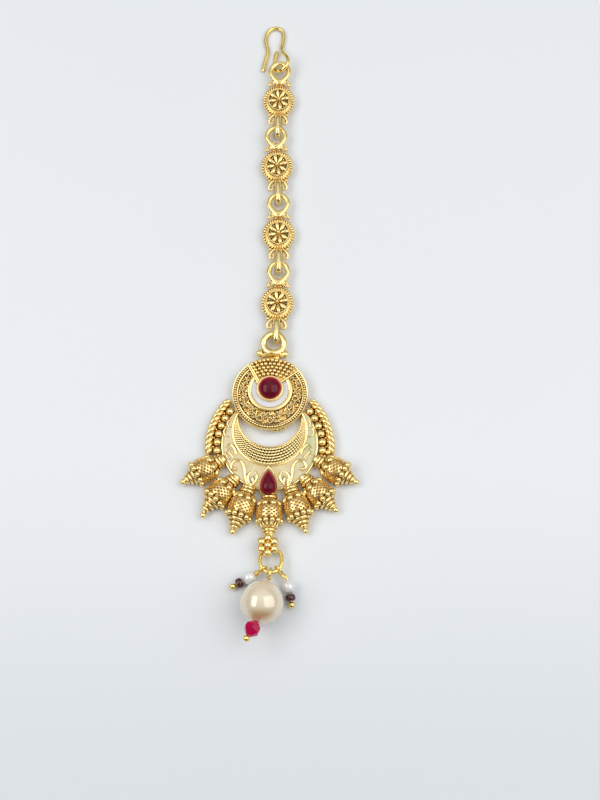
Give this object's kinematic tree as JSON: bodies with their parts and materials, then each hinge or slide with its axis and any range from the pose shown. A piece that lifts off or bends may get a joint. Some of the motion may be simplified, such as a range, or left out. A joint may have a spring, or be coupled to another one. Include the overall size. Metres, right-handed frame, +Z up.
{
  "type": "maang tikka",
  "caption": "Hair jewel worn on the parting: a hair hook and flower-link chain carry a round and crescent enamelled pendant with urn drops, a pearl and small beads.",
  "frame": {"origin": "centre of the round medallion's flat back, on the surface that the jewel lies on", "axes": "+Z up out of the front face, +Y along the chain towards the hair hook, +X to the right"},
  "size_m": [0.04, 0.1539, 0.0095],
  "materials": {
    "antique_gold": "matt antique gold plate over cast alloy, dark in its recesses",
    "bright_gold_wire": "polished yellow gold-plated wire",
    "ruby_glass": "deep crimson polished glass cabochon, closed back",
    "white_enamel": "glossy cool white enamel",
    "ivory_enamel": "satin ivory enamel with a faint green tint",
    "cream_pearl": "champagne imitation pearl, pearly gloss",
    "white_pearl": "white imitation pearl, pearly gloss",
    "maroon_glass": "opaque dark maroon glass seed bead",
    "pink_crystal": "faceted raspberry pink glass"
  },
  "bodies": {
    "root": {"hair_hook": "bright_gold_wire", "flower_link_1": "antique_gold", "flower_link_2": "antique_gold", "flower_link_3": "antique_gold", "flower_link_4": "antique_gold", "pendant_frame": "antique_gold", "moon_enamel": "white_enamel", "crescent_enamel": "ivory_enamel", "ruby_round": "ruby_glass", "ruby_drop": "ruby_glass", "jump_ring": "bright_gold_wire", "pearl_pin": "bright_gold_wire", "pearl": "cream_pearl", "crystal": "pink_crystal", "left_pin": "bright_gold_wire", "left_pearl": "white_pearl", "left_seed_bead": "maroon_glass", "right_pin": "bright_gold_wire", "right_pearl": "white_pearl", "right_seed_bead": "maroon_glass"}
  },
  "joints": []
}
